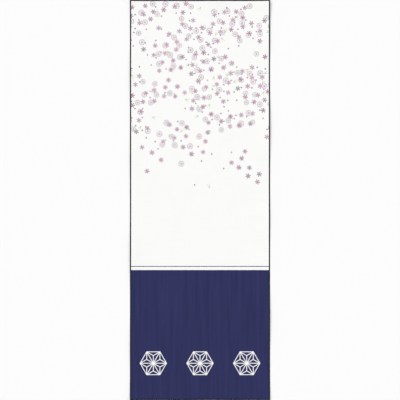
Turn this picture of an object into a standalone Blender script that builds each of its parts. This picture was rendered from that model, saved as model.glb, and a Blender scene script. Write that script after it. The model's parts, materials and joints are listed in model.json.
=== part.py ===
# A cotton tenugui hand towel, unfolded and lying on a flat surface, face up.
# It is one length of plain-woven cloth: woven selvedges down both long sides and two cut, unhemmed ends.
# Metres, +Z up. The origin is in the middle of the underside, and the towel's length runs along Y.

from collections import namedtuple
import math

import bpy
import bmesh

# Driving dimensions
CLOTH_WIDTH = 0.350
CLOTH_LENGTH = 1.000
CLOTH_THICKNESS = 0.001

# The lower part of the cloth is dyed navy, up to a straight line at this distance from the lower end.
NAVY_HEIGHT = 0.325

# The sheet's mesh has cells of about this size, fine enough for the shortest edge lift.
CELL_SIZE = 0.020

# Where the cloth doesn't quite touch the surface: soft lifts along an edge.
# edge: which edge; along: the middle of the lift, as a share of that edge's length from its left or lower end;
# half_width: how far the lift reaches along the edge to each side; inward: how far it reaches into the cloth;
# height: how high the edge itself stands there.
EdgeLift = namedtuple("EdgeLift", "edge along half_width inward height")
EDGE_LIFTS = (
    EdgeLift("left", 0.13, 0.085, 0.040, 0.0016),
    EdgeLift("left", 0.36, 0.110, 0.055, 0.0024),
    EdgeLift("left", 0.60, 0.075, 0.035, 0.0013),
    EdgeLift("left", 0.81, 0.095, 0.045, 0.0020),
    EdgeLift("right", 0.20, 0.100, 0.050, 0.0022),
    EdgeLift("right", 0.45, 0.080, 0.040, 0.0014),
    EdgeLift("right", 0.68, 0.115, 0.055, 0.0026),
    EdgeLift("right", 0.90, 0.070, 0.035, 0.0012),
    EdgeLift("lower", 0.34, 0.075, 0.060, 0.0024),
    EdgeLift("lower", 0.74, 0.060, 0.045, 0.0015),
    EdgeLift("upper", 0.28, 0.060, 0.045, 0.0016),
    EdgeLift("upper", 0.63, 0.080, 0.065, 0.0028),
)

# Each corner curls up a little. side and end say which corner, reach is how far in along the edges it starts.
CornerCurl = namedtuple("CornerCurl", "side end reach height")
CORNER_CURLS = (
    CornerCurl("left", "lower", 0.090, 0.0040),
    CornerCurl("right", "lower", 0.075, 0.0026),
    CornerCurl("left", "upper", 0.070, 0.0022),
    CornerCurl("right", "upper", 0.100, 0.0048),
)

# The looks of the plain cloth
WHITE_COTTON = (0.90, 0.90, 0.88, 1.0)
NAVY_COTTON = (0.031, 0.037, 0.110, 1.0)
COTTON_ROUGHNESS = 0.95


def clear_scene():
    """Removes whatever the startup scene holds."""
    for obj in list(bpy.data.objects):
        bpy.data.objects.remove(obj)


def edge_distances(x, y):
    """How far the point is from each edge of the cloth."""
    return {
        "left": x + CLOTH_WIDTH / 2,
        "right": CLOTH_WIDTH / 2 - x,
        "lower": y + CLOTH_LENGTH / 2,
        "upper": CLOTH_LENGTH / 2 - y,
    }


def edge_lift_height(lift, x, y):
    """The height that one edge lift gives: a hump along the edge, which fades to nothing inward."""
    from_edge = edge_distances(x, y)
    if lift.edge in ("left", "right"):
        from_middle = from_edge["lower"] - lift.along * CLOTH_LENGTH
    else:
        from_middle = from_edge["left"] - lift.along * CLOTH_WIDTH
    across = abs(from_middle) / lift.half_width
    depth = from_edge[lift.edge] / lift.inward
    if across >= 1 or depth >= 1:
        return 0.0
    hump = math.cos(across * math.pi / 2) ** 2
    return lift.height * hump * (1 - depth) ** 2


def corner_curl_height(curl, x, y):
    """The height that one corner curl gives: lines of equal height cross the corner's diagonal."""
    from_edge = edge_distances(x, y)
    depth = (from_edge[curl.side] + from_edge[curl.end]) / curl.reach
    if depth >= 1:
        return 0.0
    return curl.height * (1 - depth) ** 2


def underside_height(x, y):
    """The height of the cloth's underside over the surface, zero where the cloth touches it."""
    edges = sum(edge_lift_height(lift, x, y) for lift in EDGE_LIFTS)
    corners = sum(corner_curl_height(curl, x, y) for curl in CORNER_CURLS)
    return edges + corners


def cotton_material(name, colour):
    """Plain-woven cotton of one colour, fully matt."""
    material = bpy.data.materials.new(name)
    material.use_nodes = True
    shader = material.node_tree.nodes["Principled BSDF"]
    shader.inputs["Base Color"].default_value = colour
    shader.inputs["Roughness"].default_value = COTTON_ROUGHNESS
    shader.inputs["Metallic"].default_value = 0.0
    return material


def cloth_grid():
    """A flat grid the size of the cloth, with one more line across it where the navy begins."""
    sheet = bmesh.new()
    columns = round(CLOTH_WIDTH / CELL_SIZE)
    rows = round(CLOTH_LENGTH / CELL_SIZE)
    bmesh.ops.create_grid(sheet, x_segments=columns, y_segments=rows, size=0.5)
    bmesh.ops.scale(sheet, verts=sheet.verts, vec=(CLOTH_WIDTH, CLOTH_LENGTH, 1))
    dye_line = NAVY_HEIGHT - CLOTH_LENGTH / 2
    whole = list(sheet.verts) + list(sheet.edges) + list(sheet.faces)
    bmesh.ops.bisect_plane(sheet, geom=whole, dist=1e-6, plane_co=(0, dye_line, 0), plane_no=(0, 1, 0))
    for face in sheet.faces:
        face.material_index = int(face.calc_center_median().y < dye_line)
    return sheet


def make_towel_cloth():
    """The whole towel: the flat grid lifted a little at its edges, then thickened upwards."""
    sheet = cloth_grid()
    for point in sheet.verts:
        point.co.z = underside_height(point.co.x, point.co.y)

    mesh = bpy.data.meshes.new("towel_cloth")
    sheet.to_mesh(mesh)
    sheet.free()
    mesh.materials.append(cotton_material("white_cotton", WHITE_COTTON))
    mesh.materials.append(cotton_material("navy_cotton", NAVY_COTTON))

    cloth = bpy.data.objects.new("towel_cloth", mesh)
    bpy.context.scene.collection.objects.link(cloth)
    thickness = cloth.modifiers.new("thickness", "SOLIDIFY")
    thickness.thickness = CLOTH_THICKNESS
    thickness.offset = 1.0
    return cloth


clear_scene()
make_towel_cloth()
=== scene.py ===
# %% [markdown]
# # A tenugui, laid flat
# A tenugui is a hand towel of one thin layer of plain-woven cotton. It is cut from a long narrow cloth and
# dyed right through, so its back looks like its front. The two long sides are woven selvedges. The two
# short ends are cut and left raw, and they fray a little.
# This lesson makes the looks of one such towel. A plain solid of it, 1 mm thick, comes in first, because
# physics needs a body to rest on the floor. Everything that follows is built in the same place and size.

# %% Bring in the solid towel
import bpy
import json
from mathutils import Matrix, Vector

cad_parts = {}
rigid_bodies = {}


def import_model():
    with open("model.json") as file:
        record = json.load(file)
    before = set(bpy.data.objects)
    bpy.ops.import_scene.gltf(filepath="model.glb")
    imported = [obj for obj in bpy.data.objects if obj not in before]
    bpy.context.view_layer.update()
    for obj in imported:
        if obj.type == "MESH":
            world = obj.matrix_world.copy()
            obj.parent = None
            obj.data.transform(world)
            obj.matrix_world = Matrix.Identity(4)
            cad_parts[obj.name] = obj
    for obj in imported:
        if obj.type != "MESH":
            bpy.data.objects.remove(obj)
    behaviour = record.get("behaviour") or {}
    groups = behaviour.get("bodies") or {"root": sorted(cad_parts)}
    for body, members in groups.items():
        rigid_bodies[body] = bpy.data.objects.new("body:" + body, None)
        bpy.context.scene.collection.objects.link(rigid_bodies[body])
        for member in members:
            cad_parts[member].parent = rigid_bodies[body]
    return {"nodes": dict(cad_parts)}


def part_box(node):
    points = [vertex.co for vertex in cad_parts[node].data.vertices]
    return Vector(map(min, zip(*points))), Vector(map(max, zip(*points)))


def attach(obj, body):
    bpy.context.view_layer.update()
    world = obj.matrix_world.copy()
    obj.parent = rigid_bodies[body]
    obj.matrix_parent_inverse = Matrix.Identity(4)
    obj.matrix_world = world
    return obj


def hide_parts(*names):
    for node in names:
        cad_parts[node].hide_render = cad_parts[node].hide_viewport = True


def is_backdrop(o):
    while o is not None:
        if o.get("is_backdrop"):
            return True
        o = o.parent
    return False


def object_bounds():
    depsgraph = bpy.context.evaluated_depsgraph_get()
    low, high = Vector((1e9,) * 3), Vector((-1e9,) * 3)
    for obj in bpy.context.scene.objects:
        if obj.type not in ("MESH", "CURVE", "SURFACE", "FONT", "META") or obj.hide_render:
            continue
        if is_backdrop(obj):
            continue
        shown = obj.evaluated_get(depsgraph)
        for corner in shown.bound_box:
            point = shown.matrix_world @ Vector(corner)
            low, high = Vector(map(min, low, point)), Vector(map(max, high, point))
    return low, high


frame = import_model()

CAD_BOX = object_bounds()
print("solid parts:", list(frame["nodes"]), "box:", [tuple(corner) for corner in CAD_BOX])

# %% [markdown]
# ## Sizes come from the solid
# The solid says how wide and how long the towel is, so the cloth reads its size there and the two can't
# disagree. Shapes are in metres. The dyed pattern is worked out in millimetres, which suit its scale.

# %% The towel's size
from collections import namedtuple
from functools import reduce
import json
import math

import bpy
import numpy as np

MM = 0.001
low_corner, high_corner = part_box("towel_cloth")
WIDTH = round(high_corner[0] - low_corner[0], 4)
LENGTH = round(high_corner[1] - low_corner[1], 4)
WIDTH_MM = WIDTH / MM
LENGTH_MM = LENGTH / MM
print(f"the towel is {WIDTH_MM:.0f} x {LENGTH_MM:.0f} mm")

# %% [markdown]
# ## How thin cloth lies
# Cotton this thin has some memory of the roll that it came from. Laid out by hand, it touches the floor
# nearly everywhere, but its edges lift here and there and its corners curl. Each lift is one row of a short
# table, and a formula turns the row into height. A cloth simulation could find such a shape too, but these
# lifts must match the solid's, so the same table is better.

# %% Edge lifts and corner curls
EdgeLift = namedtuple("EdgeLift", "edge along half_width inward height")
EDGE_LIFTS = (
    EdgeLift("left", 0.13, 0.085, 0.040, 0.0016),
    EdgeLift("left", 0.36, 0.110, 0.055, 0.0024),
    EdgeLift("left", 0.60, 0.075, 0.035, 0.0013),
    EdgeLift("left", 0.81, 0.095, 0.045, 0.0020),
    EdgeLift("right", 0.20, 0.100, 0.050, 0.0022),
    EdgeLift("right", 0.45, 0.080, 0.040, 0.0014),
    EdgeLift("right", 0.68, 0.115, 0.055, 0.0026),
    EdgeLift("right", 0.90, 0.070, 0.035, 0.0012),
    EdgeLift("lower", 0.34, 0.075, 0.060, 0.0024),
    EdgeLift("lower", 0.74, 0.060, 0.045, 0.0015),
    EdgeLift("upper", 0.28, 0.060, 0.045, 0.0016),
    EdgeLift("upper", 0.63, 0.080, 0.065, 0.0028),
)
CornerCurl = namedtuple("CornerCurl", "side end reach height")
CORNER_CURLS = (
    CornerCurl("left", "lower", 0.090, 0.0040),
    CornerCurl("right", "lower", 0.075, 0.0026),
    CornerCurl("left", "upper", 0.070, 0.0022),
    CornerCurl("right", "upper", 0.100, 0.0048),
)


def edge_distances(u, v):
    """How far each flat place is from the edges. u runs across from the left, v up from the lower end."""
    return {"left": u, "right": WIDTH - u, "lower": v, "upper": LENGTH - v}


def lift_height(lift, u, v):
    """One edge lift: a squared cosine along the edge, times the square of what is left of its way inward."""
    run, side = (v, LENGTH) if lift.edge in ("left", "right") else (u, WIDTH)
    across = np.clip(np.abs(run - lift.along * side) / lift.half_width, 0, 1)
    depth = np.clip(edge_distances(u, v)[lift.edge] / lift.inward, 0, 1)
    return lift.height * np.cos(across * np.pi / 2) ** 2 * (1 - depth) ** 2


def curl_height(curl, u, v):
    """One corner curl: the square of what is left of the way from the corner's tip to its reach."""
    from_edge = edge_distances(u, v)
    depth = np.clip((from_edge[curl.side] + from_edge[curl.end]) / curl.reach, 0, 1)
    return curl.height * (1 - depth) ** 2


print("highest edge lift:", max(lift.height for lift in EDGE_LIFTS) / MM, "mm")
print("highest corner curl:", max(curl.height for curl in CORNER_CURLS) / MM, "mm")

# %% [markdown]
# ## Slack in the middle
# Away from the edges the real cloth is never dead flat. Hands leave a little slack in it, which shows as
# faint broad swells when light comes from the side. A few long ripples that cross each other, each a plain
# sine, add up to that. The swells are under half a millimetre high, so they stay inside the solid.

# %% Faint swells
Ripple = namedtuple("Ripple", "length degrees phase share")
RIPPLES = (
    Ripple(0.310, 78, 0.4, 1.00),
    Ripple(0.170, 102, 1.9, 0.75),
    Ripple(0.125, 38, 3.1, 0.55),
    Ripple(0.090, 141, 5.0, 0.40),
    Ripple(0.067, 93, 2.2, 0.25),
)
SWELL_HEIGHT = 0.45 * MM


def swell_height(u, v):
    """Sines of different lengths and headings, added up, then scaled to stay within the full height."""
    total = np.zeros_like(u)
    for ripple in RIPPLES:
        heading = math.radians(ripple.degrees)
        way = u * math.cos(heading) + v * math.sin(heading)
        total += ripple.share * np.sin(2 * np.pi * way / ripple.length + ripple.phase)
    most = sum(ripple.share for ripple in RIPPLES)
    return SWELL_HEIGHT * (1 + total / most) / 2


def underside(u, v):
    """Height of the cloth's underside: its edge lifts, corner curls and swells, added up."""
    lifts = sum(lift_height(lift, u, v) for lift in EDGE_LIFTS)
    curls = sum(curl_height(curl, u, v) for curl in CORNER_CURLS)
    return lifts + curls + swell_height(u, v)


trial_u, trial_v = np.meshgrid(np.linspace(0, WIDTH, 71), np.linspace(0, LENGTH, 201))
print("swells reach", round(float(swell_height(trial_u, trial_v).max() / MM), 2), "mm")

# %% [markdown]
# ## Thickness and selvedge
# The cloth is a little over a third of a millimetre thick. At each long side the weft thread turns back into
# the cloth, which packs the last few warp threads closer. That makes a slightly thicker cord, the selvedge.
# The grid's lines stand closer together by the edges, so that the cord gets its round shape.

# %% Grid lines and thickness
CLOTH_THICKNESS = 0.36 * MM
SELVEDGE_EXTRA = 0.16 * MM
SELVEDGE_FROM_EDGE = 1.1 * MM
SELVEDGE_HALF_WIDTH = 1.0 * MM
GRID_CELL = 4.0 * MM
CLOSE_LINES = np.array([0.0, 0.35, 0.8, 1.3, 1.9, 2.6]) * MM


def grid_lines(length):
    """Places along one side: close together by both edges, and even cells between."""
    start = CLOSE_LINES[-1] + GRID_CELL / 2
    middle = np.linspace(start, length - start, round((length - 2 * start) / GRID_CELL) + 1)
    return np.concatenate([CLOSE_LINES, middle, length - CLOSE_LINES[::-1]])


def cloth_thickness(u):
    """Even cloth, plus a bell curve a millimetre in from each selvedge."""
    off_cord = (np.minimum(u, WIDTH - u) - SELVEDGE_FROM_EDGE) / SELVEDGE_HALF_WIDTH
    return CLOTH_THICKNESS + SELVEDGE_EXTRA * np.exp(-off_cord**2)


print("grid lines across and along:", len(grid_lines(WIDTH)), len(grid_lines(LENGTH)))

# %% [markdown]
# ## From arrays to a mesh
# Blender can be handed a whole shape at once: all points as one long array, then all corners of all faces.
# That is much quicker than adding them one at a time. Each point also carries its place on the flat cloth,
# in metres, as its map, so that the dyes can follow the cloth wherever it bends.

# %% Mesh from arrays
FLAT_MAP = "flat_place"


def grid_quads(numbers):
    """Quads between neighbours in a grid of point numbers, facing you if columns run right and rows up."""
    corners = numbers[:-1, :-1], numbers[:-1, 1:], numbers[1:, 1:], numbers[1:, :-1]
    return np.stack(corners, axis=-1).reshape(-1, 4)


def make_piece(name, points, quads, flat_places):
    """A smooth mesh of quads from arrays, in the scene, with its object at the origin."""
    mesh = bpy.data.meshes.new(name)
    mesh.vertices.add(len(points))
    mesh.vertices.foreach_set("co", points.astype(np.float32).ravel())
    mesh.loops.add(quads.size)
    mesh.loops.foreach_set("vertex_index", quads.astype(np.int32).ravel())
    mesh.polygons.add(len(quads))
    mesh.polygons.foreach_set("loop_start", np.arange(0, quads.size, 4, dtype=np.int32))
    mesh.update(calc_edges=True)
    mesh.validate()
    flat_map = mesh.uv_layers.new(name=FLAT_MAP)
    flat_map.uv.foreach_set("vector", flat_places[quads.ravel()].astype(np.float32).ravel())
    mesh.shade_smooth()
    piece = bpy.data.objects.new(name, mesh)
    bpy.context.scene.collection.objects.link(piece)
    print(f"{name}: {len(points)} points, {2 * len(quads)} triangles")
    return piece


print("each point's place on the flat cloth is kept in the map", FLAT_MAP)

# %% [markdown]
# ## The cloth
# A Solidify modifier could thicken a flat sheet, but it gives the same thickness everywhere. Here the
# selvedges are thicker, so the cloth is one closed shell: a section that runs across the top and back
# underneath is carried along the length, and each end is closed with one strip.

# %% The cloth as one closed shell
def make_cloth():
    """A cross-section that runs over the top and back underneath, carried along the length, then closed."""
    u, v = np.meshgrid(grid_lines(WIDTH), grid_lines(LENGTH))
    x, y = u - WIDTH / 2, v - LENGTH / 2
    under = underside(u, v)
    top = np.stack([x, y, under + cloth_thickness(u)], axis=-1)
    bottom = np.stack([x, y, under], axis=-1)
    section = np.concatenate([top, bottom[:, ::-1]], axis=1)
    flat = np.stack([u, v], axis=-1)
    places = np.concatenate([flat, flat[:, ::-1]], axis=1)

    numbers = np.arange(section.shape[0] * section.shape[1]).reshape(section.shape[:2])
    columns = u.shape[1]
    over, back = numbers[:, :columns], numbers[:, columns:][:, ::-1]
    around = np.concatenate([numbers, numbers[:, :1]], axis=1)
    lower_end = np.stack([back[0], over[0]])
    upper_end = np.stack([over[-1], back[-1]])
    quads = np.concatenate([grid_quads(around), grid_quads(lower_end), grid_quads(upper_end)])
    return make_piece("dyed_cloth", section.reshape(-1, 3), quads, places.reshape(-1, 2))


cloth = make_cloth()

# %% [markdown]
# ## A second map, for baking
# Other programs can't run a material's nodes. For them the dyes are baked, which means painted into one
# square picture, and a map says which part of it each face wears. Blender can lay out such a map by itself,
# but a towel is long and narrow, and its two faces look alike. So this map cuts the cloth across its bare
# white middle, lays the halves side by side, and puts the back under the front. Each millimetre of the
# towel's length then gets twice as many points of the picture.

# %% The map for baking
BAKE_MAP = "OFBake"
BAKE_MARGIN = 0.01


def add_bake_map(piece):
    """Across the cloth goes half the picture's width, and along half of the cloth its height. The upper half
    of the cloth lies to the right of the lower, and each half has a margin all round."""
    mesh = piece.data
    flat_places = np.empty(2 * len(mesh.loops), dtype=np.float32)
    mesh.uv_layers[FLAT_MAP].uv.foreach_get("vector", flat_places)
    u, v = flat_places.reshape(-1, 4, 2).transpose(2, 0, 1)
    upper = v.mean(axis=1, keepdims=True) > LENGTH / 2
    x = (upper + 2 * BAKE_MARGIN + u / WIDTH * (1 - 4 * BAKE_MARGIN)) / 2
    y = BAKE_MARGIN + (2 * v / LENGTH - upper) * (1 - 2 * BAKE_MARGIN)
    bake_map = mesh.uv_layers.new(name=BAKE_MAP, do_init=False)
    bake_map.uv.foreach_set("vector", np.stack([x, y], axis=-1).astype(np.float32).ravel())
    print(f"{BAKE_MAP} runs from {x.min():.3f} to {x.max():.3f} and from {y.min():.3f} to {y.max():.3f}")


add_bake_map(cloth)

# %% [markdown]
# ## Raw ends
# Where the cloth is cut, nothing holds the last weft threads, so they drop out and the ends of the warp
# threads are left free for a millimetre or two. The real ones are 0.4 mm apart. Here they are twice as
# coarse, so that they show. Most are short and a few are long, and none sticks out quite straight.

# %% The sizes of the loose ends
THREAD_PITCH = 0.8 * MM
THREAD_RADIUS = 0.19 * MM
THREAD_TAPER = 0.45
THREAD_ROOT = 1.0 * MM
SHORTEST_END = 0.3 * MM
MEAN_EXTRA_END = 0.45 * MM
LONGEST_END = 2.2 * MM
UNEVENNESS = 0.3
LEAN = 0.45
DROOP = 0.25
RINGS = 5
SIDES = 4
THREAD_COUNT = round(WIDTH / THREAD_PITCH) - 1
print("loose ends in each row:", THREAD_COUNT)

# %% [markdown]
# ## A row of tubes in one array
# Particle hair could do this, but a mesh is simpler to keep and to export. Each loose end is a thin tube of
# four sides. A point on it is a function of which thread it is on, how far along, and how far round, so the
# whole row is one array with those three directions.

# %% Loose warp ends
ThreadRow = namedtuple("ThreadRow", "name outward seed")
THREAD_ROWS = (ThreadRow("upper_warp_ends", 1, 11), ThreadRow("lower_warp_ends", -1, 23))


def make_thread_row(row):
    """Tubes that start inside the cloth's end and run out, leaning and drooping as the square of the way."""
    chance = np.random.default_rng(row.seed)
    order = np.arange(THREAD_COUNT) + 1 + chance.uniform(-UNEVENNESS, UNEVENNESS, THREAD_COUNT)
    u = order * WIDTH / (THREAD_COUNT + 1)
    reach = np.minimum(SHORTEST_END + chance.exponential(MEAN_EXTRA_END, THREAD_COUNT), LONGEST_END)
    lean = chance.normal(0, LEAN, THREAD_COUNT) * reach
    end_v = np.full(THREAD_COUNT, LENGTH if row.outward > 0 else 0.0)
    middle = underside(u, end_v) + cloth_thickness(u) / 2

    along = np.linspace(0, 1, RINGS)[None, :]
    out = -THREAD_ROOT + (THREAD_ROOT + reach[:, None]) * along
    radius = THREAD_RADIUS * (1 - THREAD_TAPER * along)
    centre_x = u[:, None] - WIDTH / 2 + lean[:, None] * along**2
    centre_y = row.outward * (LENGTH / 2 + out)
    centre_z = np.maximum(middle[:, None] - reach[:, None] * DROOP * along**2, radius)

    turn = -row.outward * 2 * np.pi * (np.arange(SIDES) + 0.5) / SIDES
    x = centre_x[..., None] + radius[..., None] * np.cos(turn)
    y = centre_y[..., None] + np.zeros(SIDES)
    z = centre_z[..., None] + radius[..., None] * np.sin(turn)
    points = np.stack([x, y, z], axis=-1)

    numbers = np.arange(THREAD_COUNT * RINGS * SIDES).reshape(THREAD_COUNT, RINGS, SIDES)
    around = np.concatenate([numbers, numbers[..., :1]], axis=-1)
    corners = around[:, :-1, :-1], around[:, :-1, 1:], around[:, 1:, 1:], around[:, 1:, :-1]
    walls = np.stack(corners, axis=-1).reshape(-1, 4)
    quads = np.concatenate([walls, numbers[:, 0, ::-1], numbers[:, -1]])
    places = np.stack([x + WIDTH / 2, np.clip(y + LENGTH / 2, 0, LENGTH)], axis=-1)
    return make_piece(row.name, points.reshape(-1, 3), quads, places.reshape(-1, 2))


thread_rows = [make_thread_row(row) for row in THREAD_ROWS]

# %% [markdown]
# ## A helper for materials
# A material is a small machine of nodes, each with settings and with links to others. One function adds any
# node and wires it up. Colours are written as the hex values that you would pick on a screen, which are
# bent for the eye, so one function turns them into the straight light values that the renderer adds up.

# %% Adding nodes and reading colours
def linear(hex_colour):
    """sRGB hex to linear light: up to 0.04045 c / 12.92, above it ((c + 0.055) / 1.055) to the power 2.4."""
    values = [int(hex_colour[i : i + 2], 16) / 255 for i in (0, 2, 4)]
    return tuple(c / 12.92 if c <= 0.04045 else ((c + 0.055) / 1.055) ** 2.4 for c in values) + (1.0,)


def add(tree, kind, inputs=(), out=0, **settings):
    """Adds a node and returns one of its outputs. The inputs are numbers, colours or other nodes' outputs, in
    socket order or by socket name or number."""
    node = tree.nodes.new("ShaderNode" + kind)
    for name, value in settings.items():
        setattr(node, name, value)
    for key, value in inputs.items() if isinstance(inputs, dict) else enumerate(inputs):
        if isinstance(value, bpy.types.NodeSocket):
            tree.links.new(value, node.inputs[key])
        else:
            node.inputs[key].default_value = value
    return node.outputs[out]


print("a mid grey of 808080 is", round(linear("808080")[0], 3), "in linear light")

# %% [markdown]
# ## Where on the cloth a dye lies
# The pattern follows the cloth and not the room, so it reads the cloth's own flat map, turned into
# millimetres. Dye creeps along threads before it sets, so no dyed edge is quite sharp or quite straight.
# Two things give that: the place is nudged by a fine noise, and a shape's edge fades over half a millimetre.

# %% Place and dyed edges
CREEP = 0.5
CREEP_GRAIN = 1.4
EDGE_FADE = 0.28


def flat_place(tree):
    """The place on the cloth in millimetres from its lower left corner, exact, and nudged by the noise."""
    exact = add(tree, "UVMap", uv_map=FLAT_MAP)
    exact = add(tree, "VectorMath", (exact, (1 / MM, 1 / MM, 0)), operation="MULTIPLY")
    noise = add(tree, "TexNoise", {"Vector": exact, "Scale": 1 / CREEP_GRAIN, "Detail": 1.0}, out=1)
    nudge = add(tree, "VectorMath", (noise, (0.5, 0.5, 0.5)), operation="SUBTRACT")
    nudge = add(tree, "VectorMath", (nudge, (2 * CREEP, 2 * CREEP, 0)), operation="MULTIPLY")
    return exact, add(tree, "VectorMath", (exact, nudge), operation="ADD")


def dyed(tree, depth):
    """1 inside a shape and 0 outside, from how many millimetres inside its outline the place is."""
    limits = (depth, -EDGE_FADE, EDGE_FADE, 0.0, 1.0)
    return add(tree, "MapRange", limits, interpolation_type="SMOOTHSTEP")


print("a dyed edge fades over", 2 * EDGE_FADE, "mm and wanders by up to", CREEP, "mm")

# %% [markdown]
# ## A half-drop repeat
# Small scattered motifs on such towels come from a stencil that repeats. In the commonest repeat every
# second column hangs half a step lower, so that no row shows. Here the columns also lean, so that they don't
# run along the towel. Each motif sits in a cell of its own. Random numbers that belong to the cell move it a
# little, turn it, and choose its colour. The kinds of motif have repeats of their own, so that they mingle.

# %% Cells of the repeats
Repeat = namedtuple("Repeat", "lean step_u step_v shift_u shift_v wander seed")
CLEMATIS = Repeat(13, 25.0, 24.0, 0.0, 0.0, 3.6, 1.0)
CHRYSANTHEMUMS = Repeat(-19, 29.0, 27.0, 11.0, 13.0, 5.2, 4.0)
NEEDLES = Repeat(13, 25.0, 24.0, 12.5, 6.0, 4.5, 2.0)
BUDS = Repeat(31, 20.5, 19.0, 15.4, 0.0, 6.0, 3.0)


def cell_number(tree, place, repeat):
    """The cell's whole numbers, across and up, and the place from its middle, both measured along the leaning
    columns. Odd columns hang half a step lower than even ones."""
    lean = math.radians(repeat.lean)
    leaning = add(tree, "VectorRotate", {"Vector": place, "Angle": lean}, rotation_type="Z_AXIS")
    moved = add(tree, "VectorMath", (leaning, (repeat.shift_u, repeat.shift_v, 0)), operation="SUBTRACT")
    column = add(tree, "Math", (add(tree, "SeparateXYZ", (moved,)), repeat.step_u), operation="DIVIDE")
    column = add(tree, "Math", (column,), operation="FLOOR")
    odd = add(tree, "Math", (column, 2.0), operation="FLOORED_MODULO")
    drop = add(tree, "Math", (odd, repeat.step_v / 2), operation="MULTIPLY")
    dropped = add(tree, "VectorMath", (moved, add(tree, "CombineXYZ", (0.0, drop, 0.0))), operation="ADD")
    step = (repeat.step_u, repeat.step_v, 1)
    number = add(tree, "VectorMath", (dropped, step), operation="DIVIDE")
    number = add(tree, "VectorMath", (number,), operation="FLOOR")
    middle = add(tree, "VectorMath", (number, (0.5, 0.5, 0)), operation="ADD")
    middle = add(tree, "VectorMath", (middle, step), operation="MULTIPLY")
    return number, add(tree, "VectorMath", (dropped, middle), operation="SUBTRACT")


for repeat in (CLEMATIS, CHRYSANTHEMUMS, NEEDLES, BUDS):
    print("a repeat of", repeat.step_u, "x", repeat.step_v, "mm, leaning by", repeat.lean, "degrees")

# %% [markdown]
# ## How thickly the motifs lie
# The scatter is full at the top of the towel and thins out downwards, until the ground is bare white. On the
# way it gathers in loose drifts, which a broad noise gives. Both are read at a cell's middle, so that a motif
# is there as a whole or not at all. No cell is used whose middle is right at the cut end.

# %% Drifts that thin out
FULL_ABOVE = 750.0
NONE_BELOW = 525.0
END_MARGIN = 9.0
DRIFT_SIZE = 75.0
DRIFT_FROM_NOISE = (0.38, 0.56)
DRIFT_FULLNESS = (0.15, 1.35)


def fullness(tree, middle):
    """How full the scatter is, about 1 in a drift: a ramp up the towel, times a broad noise, but 0 at the cut
    end."""
    height = add(tree, "SeparateXYZ", (middle,), out=1)
    ramp = add(tree, "MapRange", (height, NONE_BELOW, FULL_ABOVE, 0.0, 1.0))
    noise = add(tree, "TexNoise", {"Vector": middle, "Scale": 1 / DRIFT_SIZE, "Detail": 0.0})
    drift = add(tree, "MapRange", (noise, *DRIFT_FROM_NOISE, *DRIFT_FULLNESS))
    share = add(tree, "Math", (ramp, drift), operation="MULTIPLY")
    clear_of_end = add(tree, "Math", (LENGTH_MM - END_MARGIN, height), operation="GREATER_THAN")
    return add(tree, "Math", (share, clear_of_end), operation="MULTIPLY")


print("the scatter thins out between", FULL_ABOVE, "and", NONE_BELOW, "mm up the towel")

# %% [markdown]
# ## A cell's random numbers
# The White Noise node gives each cell's numbers random values of their own, always the same ones. Two of them
# move the motif about in its cell. Three more give its turn, its choice of colour, and its tone, which sets
# how big a flower is.

# %% All that a motif needs to know of its cell
SECOND_SEED = 7.3
Cell = namedtuple("Cell", "place fullness turn choice tone")


def cell_of(tree, place, repeat):
    """The cell that a place is in: the place from the motif's middle, the fullness of the scatter there, and
    three random numbers."""
    number, from_middle = cell_number(tree, place, repeat)
    lean = math.radians(repeat.lean)
    upright = add(tree, "VectorRotate", {"Vector": from_middle, "Angle": -lean}, rotation_type="Z_AXIS")
    middle = add(tree, "VectorMath", (place, upright), operation="SUBTRACT")

    seeded = add(tree, "VectorMath", (number, (0.5, 0.5, repeat.seed)), operation="ADD")
    wander = add(tree, "TexWhiteNoise", (seeded,), out=1)
    wander = add(tree, "VectorMath", (wander, (0.5, 0.5, 0.5)), operation="SUBTRACT")
    reach = 2 * repeat.wander
    wander = add(tree, "VectorMath", (wander, (reach, reach, 0)), operation="MULTIPLY")
    from_motif = add(tree, "VectorMath", (from_middle, wander), operation="SUBTRACT")

    again = add(tree, "VectorMath", (seeded, (0, 0, SECOND_SEED)), operation="ADD")
    chances = add(tree, "TexWhiteNoise", (again,), out=1)
    turn, choice, tone = (add(tree, "SeparateXYZ", (chances,), out=axis) for axis in range(3))
    return Cell(from_motif, fullness(tree, middle), turn, choice, tone)


def kept(tree, cell, first, last):
    """1 for cells whose choice lies between two limits, both multiplied by how full the scatter is there."""
    from_limit = add(tree, "Math", (cell.fullness, first), operation="MULTIPLY")
    to_limit = add(tree, "Math", (cell.fullness, last), operation="MULTIPLY")
    over = add(tree, "Math", (cell.choice, from_limit), operation="GREATER_THAN")
    under = add(tree, "Math", (to_limit, cell.choice), operation="GREATER_THAN")
    return add(tree, "Math", (over, under), operation="MULTIPLY")


print("clematis wander by up to", CLEMATIS.wander, "mm from their cells' middles")

# %% [markdown]
# ## Flowers folded into one petal
# A flower seen from the front is one petal, repeated round its middle. In polar coordinates the angle can be
# folded so that every petal falls onto the same one. After that only one petal has to be drawn, and the
# number of petals costs nothing. Each flower's own random numbers turn it and make it smaller or bigger.

# %% Folding round the middle
SMALLEST_FLOWER = 0.88


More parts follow.
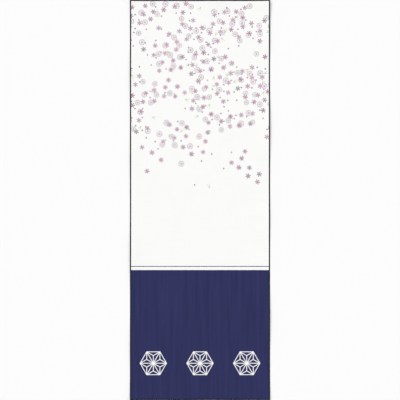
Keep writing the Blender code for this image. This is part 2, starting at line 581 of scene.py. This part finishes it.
def folded_flower(tree, cell, petals):
    """(distance from the flower's middle, share of a petal from the petal's own middle line, 0 to 0.5)."""
    growth = add(tree, "MapRange", (cell.tone, 0.0, 1.0, 1 / SMALLEST_FLOWER, 1.0))
    full_size = add(tree, "VectorMath", {"Vector": cell.place, "Scale": growth}, operation="SCALE")
    x, y = (add(tree, "SeparateXYZ", (full_size,), out=axis) for axis in range(2))
    radius = add(tree, "VectorMath", (full_size,), out=1, operation="LENGTH")
    angle = add(tree, "Math", (y, x), operation="ARCTAN2")
    turns = add(tree, "Math", (angle, petals / (2 * math.pi), cell.turn), operation="MULTIPLY_ADD")
    share = add(tree, "Math", (turns, 1.0), operation="FLOORED_MODULO")
    share = add(tree, "Math", (share, 0.5), operation="SUBTRACT")
    return radius, add(tree, "Math", (share,), operation="ABSOLUTE")


print("flowers are", SMALLEST_FLOWER, "to 1 times their full size")

# %% [markdown]
# ## Clematis, filled
# Small open flowers with six pointed petals are an old stock motif, the clematis. A dyer's stencil gives
# them one flat colour. A petal is pointed at both ends and widest a little beyond its middle, which a short
# polynomial does well enough, and a round heart joins the petals.

# %% The clematis formula
STAR_RADIUS = 7.6
STAR_PETALS = 6
STAR_HALF_WIDTH = 1.2
STAR_HEART = 1.2
PETAL_PEAK = 2 / (3 * math.sqrt(3))


def clematis_depth(tree, cell):
    """How far inside the flower a place is. A petal's half-width goes as s (1 - s squared), where s is 0 at
    the flower's middle and 1 at the petal's tip. That peaks at 0.385, a little beyond the petal's middle."""
    radius, share = folded_flower(tree, cell, STAR_PETALS)
    off_line = add(tree, "Math", (share, 2 * math.pi / STAR_PETALS), operation="MULTIPLY")
    sine, cosine = (add(tree, "Math", (off_line,), operation=name) for name in ("SINE", "COSINE"))
    aside = add(tree, "Math", (sine, radius), operation="MULTIPLY")
    along = add(tree, "Math", (cosine, radius), operation="MULTIPLY")
    way = add(tree, "Math", (along, STAR_RADIUS), operation="DIVIDE")
    squared = add(tree, "Math", (way, way), operation="MULTIPLY")
    left_over = add(tree, "Math", (1.0, squared), operation="SUBTRACT")
    shape = add(tree, "Math", (way, left_over), operation="MULTIPLY")
    half_width = add(tree, "Math", (shape, STAR_HALF_WIDTH / PETAL_PEAK), operation="MULTIPLY")
    petal = add(tree, "Math", (half_width, aside), operation="SUBTRACT")
    heart = add(tree, "Math", (STAR_HEART, radius), operation="SUBTRACT")
    return add(tree, "Math", (petal, heart), operation="MAXIMUM")


print("a clematis is up to", 2 * STAR_RADIUS, "mm across")

# %% [markdown]
# ## Chrysanthemum, in outline
# The chrysanthemum is the other stock flower of dyers: a round head of eight blunt petals, here only in
# outline. Its rim is a circle with a notch where two petals meet. Lines part the petals down to a small ring
# round the eye, and they get thinner on the way, as a brush does when it is lifted.

# %% The chrysanthemum formula
HEAD_RADIUS = 7.0
HEAD_PETALS = 8
HEAD_NOTCH = 0.34
HEAD_LINE = 1.2
EYE_RADIUS = 1.4


def chrysanthemum_depths(tree, cell):
    """How far inside the rim a place is, and how far inside the nearest line. The rim's radius drops with the
    cube of a petal's share. A line between petals is as wide as the rim's at the rim, and at the middle it
    would have no width."""
    radius, share = folded_flower(tree, cell, HEAD_PETALS)
    doubled = add(tree, "Math", (share, 2.0), operation="MULTIPLY")
    cubed = add(tree, "Math", (doubled, 3.0), operation="POWER")
    rim = add(tree, "Math", (cubed, -HEAD_NOTCH * HEAD_RADIUS, HEAD_RADIUS), operation="MULTIPLY_ADD")
    beyond_rim = add(tree, "Math", (radius, rim), operation="SUBTRACT")
    to_rim = add(tree, "Math", (beyond_rim,), operation="ABSOLUTE")

    to_parting = add(tree, "Math", (0.5, share), operation="SUBTRACT")
    arc = add(tree, "Math", (radius, 2 * math.pi / HEAD_PETALS), operation="MULTIPLY")
    to_parting = add(tree, "Math", (to_parting, arc), operation="MULTIPLY")
    half_line = HEAD_LINE / 2
    lost_width = add(tree, "Math", (radius, -half_line / HEAD_RADIUS, half_line), operation="MULTIPLY_ADD")
    to_parting = add(tree, "Math", (to_parting, lost_width), operation="ADD")
    inside_eye = add(tree, "Math", (EYE_RADIUS, radius), operation="SUBTRACT")
    to_parting = add(tree, "Math", (to_parting, inside_eye), operation="MAXIMUM")
    to_eye = add(tree, "Math", (inside_eye,), operation="ABSOLUTE")
    to_inner = add(tree, "Math", (to_parting, to_eye), operation="MINIMUM")
    to_inner = add(tree, "Math", (to_inner, beyond_rim), operation="MAXIMUM")
    nearest = add(tree, "Math", (to_rim, to_inner), operation="MINIMUM")
    inside_rim = add(tree, "Math", (rim, radius), operation="SUBTRACT")
    return inside_rim, add(tree, "Math", (half_line, nearest), operation="SUBTRACT")


print("a chrysanthemum is up to", 2 * HEAD_RADIUS, "mm across")

# %% [markdown]
# ## Pine needles and dots
# Between the heads lie paired pine needles, two strokes that part from one point, and single round dots.
# A stroke is everything within a small distance of a line. Folding the place over the sprig's own middle
# line draws both needles with the work of one.

# %% Needle and dot formulas
NEEDLE_LENGTH = 10.5
NEEDLE_WIDTH = 1.5
NEEDLE_SPREAD = math.radians(19)
NEEDLE_TAPER = 0.35
DOT_RADIUS = 1.9


def needle_mask(tree, cell):
    """Distance from one line, after folding, against a half-width that shrinks towards the needle's tip."""
    angle = add(tree, "Math", (cell.turn, 2 * math.pi), operation="MULTIPLY")
    turned = add(tree, "VectorRotate", {"Vector": cell.place, "Angle": angle}, rotation_type="Z_AXIS")
    x, y = (add(tree, "SeparateXYZ", (turned,), out=axis) for axis in range(2))
    folded = add(tree, "Math", (x,), operation="ABSOLUTE")
    from_fork = add(tree, "Math", (y, NEEDLE_LENGTH / 2), operation="ADD")
    place = add(tree, "CombineXYZ", (folded, from_fork, 0.0))
    heading = (math.sin(NEEDLE_SPREAD), math.cos(NEEDLE_SPREAD), 0.0)
    along = add(tree, "VectorMath", (place, heading), out=1, operation="DOT_PRODUCT")
    along = add(tree, "Math", (along, 0.0), operation="MAXIMUM")
    along = add(tree, "Math", (along, NEEDLE_LENGTH), operation="MINIMUM")
    nearest = add(tree, "CombineXYZ", (along, along, 0.0))
    nearest = add(tree, "VectorMath", (nearest, heading), operation="MULTIPLY")
    distance = add(tree, "VectorMath", (place, nearest), out=1, operation="DISTANCE")
    thinning = -NEEDLE_TAPER * NEEDLE_WIDTH / NEEDLE_LENGTH
    half_width = add(tree, "Math", (along, thinning, NEEDLE_WIDTH / 2), operation="MULTIPLY_ADD")
    return dyed(tree, add(tree, "Math", (half_width, distance), operation="SUBTRACT"))


def dot_mask(tree, cell):
    """Everything within the dot's radius of the motif's middle."""
    distance = add(tree, "VectorMath", (cell.place,), out=1, operation="LENGTH")
    return dyed(tree, add(tree, "Math", (DOT_RADIUS, distance), operation="SUBTRACT"))


print("needles are", NEEDLE_LENGTH, "mm long and dots", 2 * DOT_RADIUS, "mm across")

# %% [markdown]
# ## Hemp leaves
# The hemp leaf is a stock pattern of straight lines. It is a net of equal triangles, in which every corner
# is also joined to the middle of its triangle. Here it fills three hexagons on the navy, in white lines
# where paste kept the dye out. The net is easiest to measure in three coordinates, one across each of the
# three directions in which its lines run.

# %% Three coordinates across the net
LEAF_SIDE = 33.0
LEAF_ROW = LEAF_SIDE * math.sqrt(3) / 2
LEAF_LINE = 1.9
LEAF_MIDDLE_V = 92.0
LEAVES_ACROSS = 3
LINE_HEADINGS = (90, 210, 330)


def net_ways(tree, place):
    """How many rows of triangles the place is from its hexagon's middle, in each of the net's directions."""
    spacing = WIDTH_MM / LEAVES_ACROSS
    u, v = (add(tree, "SeparateXYZ", (place,), out=axis) for axis in range(2))
    wrapped = add(tree, "Math", (u, spacing), operation="FLOORED_MODULO")
    across = add(tree, "Math", (wrapped, spacing / 2), operation="SUBTRACT")
    up = add(tree, "Math", (v, LEAF_MIDDLE_V), operation="SUBTRACT")
    from_middle = add(tree, "CombineXYZ", (across, up, 0.0))
    turns = [math.radians(degrees) for degrees in LINE_HEADINGS]
    headings = [(math.cos(turn) / LEAF_ROW, math.sin(turn) / LEAF_ROW, 0.0) for turn in turns]
    return [add(tree, "VectorMath", (from_middle, h), out=1, operation="DOT_PRODUCT") for h in headings]


print("each hemp leaf hexagon is", 2 * LEAF_SIDE, "mm across")

# %% [markdown]
# ## From the net to its lines
# The part after the decimal point of each coordinate says where a place is in its own triangle. Two kinds of
# line follow from those three parts: a side, where one part is nearly nothing, and a line from a corner to
# the triangle's middle, where two parts are nearly equal. The hexagon is where all three coordinates are
# less than one row.

# %% The hemp leaf formula
def hemp_leaf_mask(tree, place):
    """The three parts add up to 1 in a triangle that points up, and to 2 in one that points down, which is
    turned over. The least share is how near a side is, and where the two lesser shares are equal runs a line
    to the triangle's middle."""
    ways = net_ways(tree, place)
    parts = [add(tree, "Math", (way, 1.0), operation="FLOORED_MODULO") for way in ways]
    total = reduce(lambda one, other: add(tree, "Math", (one, other), operation="ADD"), parts)
    points_down = add(tree, "Math", (total, 1.5), operation="GREATER_THAN")
    shares = [add(tree, "Math", (points_down, part), operation="SUBTRACT") for part in parts]
    shares = [add(tree, "Math", (share,), operation="ABSOLUTE") for share in shares]
    least = reduce(lambda one, other: add(tree, "Math", (one, other), operation="MINIMUM"), shares)
    most = reduce(lambda one, other: add(tree, "Math", (one, other), operation="MAXIMUM"), shares)
    between = add(tree, "Math", (1.0, most), operation="SUBTRACT")
    between = add(tree, "Math", (between, least), operation="SUBTRACT")
    to_side = add(tree, "Math", (least, LEAF_ROW), operation="MULTIPLY")
    apart = add(tree, "Math", (between, least), operation="SUBTRACT")
    to_spoke = add(tree, "Math", (apart, LEAF_ROW / math.sqrt(3)), operation="MULTIPLY")
    nearest = add(tree, "Math", (to_side, to_spoke), operation="MINIMUM")
    lines = dyed(tree, add(tree, "Math", (LEAF_LINE / 2, nearest), operation="SUBTRACT"))

    sizes = [add(tree, "Math", (way,), operation="ABSOLUTE") for way in ways]
    furthest = reduce(lambda one, other: add(tree, "Math", (one, other), operation="MAXIMUM"), sizes)
    depth = add(tree, "Math", (furthest, -LEAF_ROW, LEAF_ROW + LEAF_LINE / 2), operation="MULTIPLY_ADD")
    return add(tree, "Math", (lines, dyed(tree, depth)), operation="MULTIPLY")


print("the hemp leaf's lines are", LEAF_LINE, "mm wide")

# %% [markdown]
# ## The navy ground and the edge line
# The lower third is dyed navy up to a straight line, with one thin navy line above it. A narrow dark line
# runs round all four edges. Each is a depth too: how far below the line, or how near the edge, a place is.

# %% Ground and line formulas
NAVY_TOP = 325.0
THIN_LINE_AT = 334.0
THIN_LINE_WIDTH = 1.8
EDGE_LINE_WIDTH = 3.1


def navy_mask(tree, place):
    """Below the navy's top, or within half a line's width of the thin line."""
    v = add(tree, "SeparateXYZ", (place,), out=1)
    ground = add(tree, "Math", (NAVY_TOP, v), operation="SUBTRACT")
    from_line = add(tree, "Math", (v, THIN_LINE_AT), operation="SUBTRACT")
    from_line = add(tree, "Math", (from_line,), operation="ABSOLUTE")
    line = add(tree, "Math", (THIN_LINE_WIDTH / 2, from_line), operation="SUBTRACT")
    return dyed(tree, add(tree, "Math", (ground, line), operation="MAXIMUM"))


def edge_line_mask(tree, place):
    """Nearer than the line's width to any of the four edges."""
    u, v = (add(tree, "SeparateXYZ", (place,), out=axis) for axis in range(2))
    to_right = add(tree, "Math", (WIDTH_MM, u), operation="SUBTRACT")
    to_top = add(tree, "Math", (LENGTH_MM, v), operation="SUBTRACT")
    to_side = add(tree, "Math", (u, to_right), operation="MINIMUM")
    to_end = add(tree, "Math", (v, to_top), operation="MINIMUM")
    nearest = add(tree, "Math", (to_side, to_end), operation="MINIMUM")
    return dyed(tree, add(tree, "Math", (EDGE_LINE_WIDTH, nearest), operation="SUBTRACT"))


print("the navy covers", round(100 * NAVY_TOP / LENGTH_MM, 1), "% of the length")

# %% [markdown]
# ## Yarn
# Cotton yarn is thicker here and thinner there, and a thick stretch shows as a faint line along the warp or
# the weft. That is noise stretched a long way along the thread. The weave itself is a grid of threads that
# pass over and under each other. Real ones are 0.4 mm apart, too fine for any picture of the whole towel,
# so they are drawn three times as coarse.

# %% Slubs and weave
DRAWN_PITCH = 1.2
SLUB_WIDTH = 1.5
SLUB_LENGTH = 70.0
NOISE_RANGE = (0.3, 0.7)


def slub_height(tree, exact):
    """Noise stretched along the warp, plus noise stretched along the weft, around a mean of one half."""
    stretches = ((1 / SLUB_WIDTH, 1 / SLUB_LENGTH, 0), (1 / SLUB_LENGTH, 1 / SLUB_WIDTH, 0))
    warp, weft = (
        add(tree, "TexNoise", {"Vector": place, "Scale": 1.0, "Detail": 2.0})
        for place in [add(tree, "VectorMath", (exact, s), operation="MULTIPLY") for s in stretches]
    )
    both = add(tree, "Math", (warp, weft), operation="ADD")
    return add(tree, "Math", (both, 0.5), operation="MULTIPLY")


def weave_height(tree, exact):
    """Round threads both ways; the product of the two sines says which of them is on top, in a chequer."""
    sines = []
    for axis in range(2):
        place = add(tree, "SeparateXYZ", (exact,), out=axis)
        angle = add(tree, "Math", (place, math.pi / DRAWN_PITCH), operation="MULTIPLY")
        sines.append(add(tree, "Math", (angle,), operation="SINE"))
    over = add(tree, "Math", sines, operation="MULTIPLY")
    warp, weft = (add(tree, "Math", (sine,), operation="ABSOLUTE") for sine in sines)
    warp = add(tree, "Math", (over, 0.5, warp), operation="MULTIPLY_ADD")
    weft = add(tree, "Math", (over, -0.5, weft), operation="MULTIPLY_ADD")
    return add(tree, "Math", (warp, weft), operation="MAXIMUM")


print("threads drawn across the width:", round(WIDTH_MM / DRAWN_PITCH))

# %% [markdown]
# ## The dyes
# Fibre dyes soak into the cotton and leave its surface as it is, so a dye only changes the colour. White is
# the bleached cotton itself. The pink is stronger in some flowers than in others, as the dyer pours it by
# hand, and the outlined flowers go from grey to pink. The navy took a little more deeply in some warp
# threads, which shows as faint upright streaks, and noise stretched along the warp gives those. A Mix node
# has sockets of the same names for numbers and for colours, so the ones for colours are told by number.

# %% Colours and streaks
BLEACHED_WHITE = "F4F4F3"
PINK_DEEP = "93527C"
PINK_PALE = "B885A5"
FLOWER_MAUVE = "82697F"
OUTLINE_GREY = "89828C"
OUTLINE_PINK = "B07F9C"
NEEDLE_GREEN = "A6C588"
BUD_MAUVE = "8A7D8E"
NAVY_DEEP = "232651"
NAVY_PALE = "2B2E5B"
EDGE_BLACK = "17161C"
SHARE, UNDER, OVER, BLEND = 0, 6, 7, 2
STREAK_WIDTH = 9.0
STREAK_LENGTH = 160.0


def flower_dye(tree, flower, first, second):
    """A dye between two colours, by the flower's own random turn."""
    shades = {SHARE: flower.turn, UNDER: linear(first), OVER: linear(second)}
    return add(tree, "Mix", shades, out=BLEND, data_type="RGBA")


def streaked_navy(tree, exact):
    """Deep to pale navy, by noise stretched along the warp."""
    stretch = (1 / STREAK_WIDTH, 1 / STREAK_LENGTH, 0)
    stretched = add(tree, "VectorMath", (exact, stretch), operation="MULTIPLY")
    streak = add(tree, "TexNoise", {"Vector": stretched, "Scale": 1.0, "Detail": 3.0})
    depth = add(tree, "MapRange", (streak, *NOISE_RANGE, 0.0, 1.0))
    shades = {SHARE: depth, UNDER: linear(NAVY_DEEP), OVER: linear(NAVY_PALE)}
    return add(tree, "Mix", shades, out=BLEND, data_type="RGBA")


print("streaks are about", STREAK_WIDTH, "mm wide and", STREAK_LENGTH, "mm long")

# %% [markdown]
# ## Laying the dyes
# The dyes go on one over the other, from the ground up. Each row of the table is a shape, which cells of its
# repeat have it, and its dye. A cell's choice is one random number from 0 to 1, so the limits in the table
# are also the shares of the cells that get each colour. Where one motif lies over another, a dyer's stencil
# has a narrow bare gap round the one in front. So each flower is first laid in white, a little larger.

# %% One dye over another
STENCIL_GAP = 0.9


def with_gap(tree, depth):
    """The shape, grown by the stencil's gap."""
    return dyed(tree, add(tree, "Math", (depth, STENCIL_GAP), operation="ADD"))


def dyed_colour(tree, exact, place):
    """White cotton, mixed towards each dye in turn where its mask says so."""
    repeats = (CLEMATIS, CHRYSANTHEMUMS, NEEDLES, BUDS)
    star, head, needles, bud = (cell_of(tree, place, repeat) for repeat in repeats)
    star_depth = clematis_depth(tree, star)
    rim_depth, line_depth = chrysanthemum_depths(tree, head)
    dot, petals = dot_mask(tree, bud), dyed(tree, star_depth)
    white = linear(BLEACHED_WHITE)
    petal_dye = flower_dye(tree, star, PINK_DEEP, PINK_PALE)
    outline_dye = flower_dye(tree, head, OUTLINE_GREY, OUTLINE_PINK)
    layers = (
        (dot, kept(tree, bud, 0.0, 0.40), linear(BUD_MAUVE)),
        (dot, kept(tree, bud, 0.40, 0.66), linear(PINK_PALE)),
        (needle_mask(tree, needles), kept(tree, needles, 0.0, 0.18), linear(NEEDLE_GREEN)),
        (with_gap(tree, rim_depth), kept(tree, head, 0.0, 0.75), white),
        (dyed(tree, line_depth), kept(tree, head, 0.0, 0.75), outline_dye),
        (with_gap(tree, star_depth), kept(tree, star, 0.0, 0.90), white),
        (petals, kept(tree, star, 0.80, 0.90), linear(FLOWER_MAUVE)),
        (petals, kept(tree, star, 0.0, 0.80), petal_dye),
        (navy_mask(tree, place), 1.0, streaked_navy(tree, exact)),
        (hemp_leaf_mask(tree, place), 1.0, white),
        (edge_line_mask(tree, place), 1.0, linear(EDGE_BLACK)),
    )
    colour = white
    for shape, present, dye in layers:
        mask = add(tree, "Math", (shape, present), operation="MULTIPLY")
        colour = add(tree, "Mix", {SHARE: mask, UNDER: colour, OVER: dye}, out=BLEND, data_type="RGBA")
    return colour


print("the bare gap round a flower in front is", STENCIL_GAP, "mm")

# %% [markdown]
# ## The finished cotton
# This is cotton sheeting, bleached, woven plain and dyed right through. What the eye gets from it is a fully
# matt surface with a faint bloom at low angles, where light catches loose fibres. So roughness is high, the
# sheen is small and wide, and there is nearly no mirror reflection. A thick stretch of yarn is a little
# paler as well as higher. Both faces of the cloth read the same map, so the back shows the same dyes.

# %% The material
COTTON_IOR = 1.53
COTTON_ROUGHNESS = 0.92
COTTON_SPECULAR = 0.25
COTTON_SHEEN = 0.06
SHEEN_ROUGHNESS = 0.45
RELIEF_MM = 0.14
RELIEF_STRENGTH = 0.8
SLUB_RELIEF = 1.6
SLUB_SHADES = (0.972, 1.018)


def dyed_cotton():
    """The dyes as base colour, shaded a little by the slubs, and slubs and weave as relief."""
    material = bpy.data.materials.new("bleached_cotton_dyed_through")
    material.use_nodes = True
    tree = material.node_tree
    shader = tree.nodes["Principled BSDF"]
    exact, place = flat_place(tree)
    slubs = slub_height(tree, exact)
    shade = add(tree, "MapRange", (slubs, *NOISE_RANGE, *SLUB_SHADES))
    colour = add(tree, "VectorMath", {0: dyed_colour(tree, exact, place), "Scale": shade}, operation="SCALE")
    tree.links.new(colour, shader.inputs["Base Color"])

    relief = add(tree, "Math", (slubs, SLUB_RELIEF, weave_height(tree, exact)), operation="MULTIPLY_ADD")
    heights = {"Strength": RELIEF_STRENGTH, "Distance": RELIEF_MM * MM, "Height": relief}
    normal = add(tree, "Bump", heights)
    tree.links.new(normal, shader.inputs["Normal"])
    shader.inputs["Roughness"].default_value = COTTON_ROUGHNESS
    shader.inputs["IOR"].default_value = COTTON_IOR
    shader.inputs["Specular IOR Level"].default_value = COTTON_SPECULAR
    shader.inputs["Sheen Weight"].default_value = COTTON_SHEEN
    shader.inputs["Sheen Roughness"].default_value = SHEEN_ROUGHNESS
    print("nodes in the cotton:", len(tree.nodes))
    return material


cotton = dyed_cotton()
for piece in (cloth, *thread_rows):
    piece.data.materials.append(cotton)

# %% [markdown]
# The cloth and its loose thread ends ride on the towel's one body, and together they stand for the plain
# solid, which is hidden.

# %% Riding and replacing
for piece in (cloth, *thread_rows):
    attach(piece, "root")
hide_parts("towel_cloth")
print("riding on the towel's body:", [piece.name for piece in (cloth, *thread_rows)])

# %% [markdown]
# ## A pale floor
# A studio lays such a cloth on white paper. The paper is matt, and it lies just under the cloth, so that the
# two never share a surface. It is wide, because the towel is also looked at from low angles.

# %% The floor
FLOOR_SIZE = 40.0
FLOOR_GAP = 0.1 * MM
FLOOR_PAPER = "F3F3F3"
PAPER_ROUGHNESS = 0.9
PAPER_SPECULAR = 0.2


def make_floor():
    """A square of pale matt studio paper just under the cloth."""
    half = FLOOR_SIZE / 2
    corners = [(x, y, -FLOOR_GAP) for x, y in ((-half, -half), (half, -half), (half, half), (-half, half))]
    mesh = bpy.data.meshes.new("studio_floor")
    mesh.from_pydata(corners, [], [(0, 1, 2, 3)])
    paper = bpy.data.materials.new("matt_studio_paper")
    paper.use_nodes = True
    shader = paper.node_tree.nodes["Principled BSDF"]
    shader.inputs["Base Color"].default_value = linear(FLOOR_PAPER)
    shader.inputs["Roughness"].default_value = PAPER_ROUGHNESS
    shader.inputs["Specular IOR Level"].default_value = PAPER_SPECULAR
    mesh.materials.append(paper)
    floor = bpy.data.objects.new("studio_floor", mesh)
    bpy.context.scene.collection.objects.link(floor)
    return floor


floor = make_floor()
floor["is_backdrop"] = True
print("the cloth lies on", floor.name)

# %% [markdown]
# ## Two soft lamps
# A broad lamp overhead lights the cloth evenly. A lower one at the upper left rakes over it, so that its
# lifts and its weave show. Both are suns with a wide face, because a sun is equally bright all over the
# floor.

# %% The lamps
Lamp = namedtuple("Lamp", "name compass_degrees height_degrees face_degrees strength")
LAMPS = (
    Lamp("overhead_light", 40, 72, 50, 0.40),
    Lamp("raking_light", 320, 30, 16, 1.39),
)
LAMP_HOLDER_HEIGHT = 2.0


def make_lamp(lamp):
    """A soft sun. Its compass angle goes clockwise from +Y, its height angle up from the floor. Where its
    holder stands makes no difference to a sun."""
    light = bpy.data.lights.new(lamp.name, "SUN")
    light.angle = math.radians(lamp.face_degrees)
    light.energy = lamp.strength
    holder = bpy.data.objects.new(lamp.name, light)
    tilt = math.radians(90 - lamp.height_degrees)
    holder.rotation_euler = (tilt, 0, math.radians(180 - lamp.compass_degrees))
    holder.location = (0, 0, LAMP_HOLDER_HEIGHT)
    bpy.context.scene.collection.objects.link(holder)


for lamp in LAMPS:
    make_lamp(lamp)
print("lamps:", [lamp.name for lamp in LAMPS])

# %% [markdown]
# ## A pale sky
# The sky fills the shadows. It is as white near the horizon as the floor is, so that the floor has no visible
# edge, and a little darker above, where its light would wash out the shading. A picture of a studio wrapped
# round the scene could do this too, but a strength that depends on the direction is simpler and does as well.

# %% The sky
SKY_AT_HORIZON = 0.975
SKY_ABOVE = 0.735
SKY_BLEND_HEIGHT = 0.4


def make_sky():
    """Strength falls from the horizon's to the upper sky's as the view direction rises."""
    sky = bpy.data.worlds.new("studio_sky")
    sky.use_nodes = True
    tree = sky.node_tree
    direction = add(tree, "TexCoord")
    rise = add(tree, "SeparateXYZ", (direction,), out=2)
    strength = add(tree, "MapRange", (rise, 0.0, SKY_BLEND_HEIGHT, SKY_AT_HORIZON, SKY_ABOVE))
    backdrop = tree.nodes["Background"]
    backdrop.inputs["Color"].default_value = (1.0, 1.0, 1.0, 1.0)
    tree.links.new(strength, backdrop.inputs["Strength"])
    bpy.context.scene.world = sky
    return sky


print("sky:", make_sky().name)

# %% [markdown]
# ## The camera
# The camera looks straight down, as the towel is seen face on. A long lens keeps the two ends as wide as the
# middle. The camera stands as far away as that lens needs for the towel to fill the square picture from its
# top edge to its bottom edge. The standard view shows white cotton as white, where a film-like one would
# grey it.

# %% Looking straight down
LENS_MM = 90.0
SENSOR_MM = 36.0
PICTURE_WIDTH = 1.0


def make_camera():
    """A long lens straight above the towel's middle: distance over picture width equals lens over sensor."""
    data = bpy.data.cameras.new("camera_above")
    data.lens = LENS_MM
    data.sensor_width = SENSOR_MM
    camera = bpy.data.objects.new("camera_above", data)
    camera.location = (0.0, 0.0, PICTURE_WIDTH * LENS_MM / SENSOR_MM)
    bpy.context.scene.collection.objects.link(camera)
    bpy.context.scene.camera = camera
    return camera


print("camera height:", round(make_camera().location.z, 3), "m")
bpy.context.scene.view_settings.view_transform = "Standard"

# %% [markdown]
# ## Both boxes
# The looks have to stay as big as the solid. Both boxes are written out, so that they can be compared.

# %% Write both boxes and finish
boxes = {"cad": CAD_BOX, "visual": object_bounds()}
boxes = {name: [[float(value) for value in corner] for corner in box] for name, box in boxes.items()}
print("boxes:", boxes)
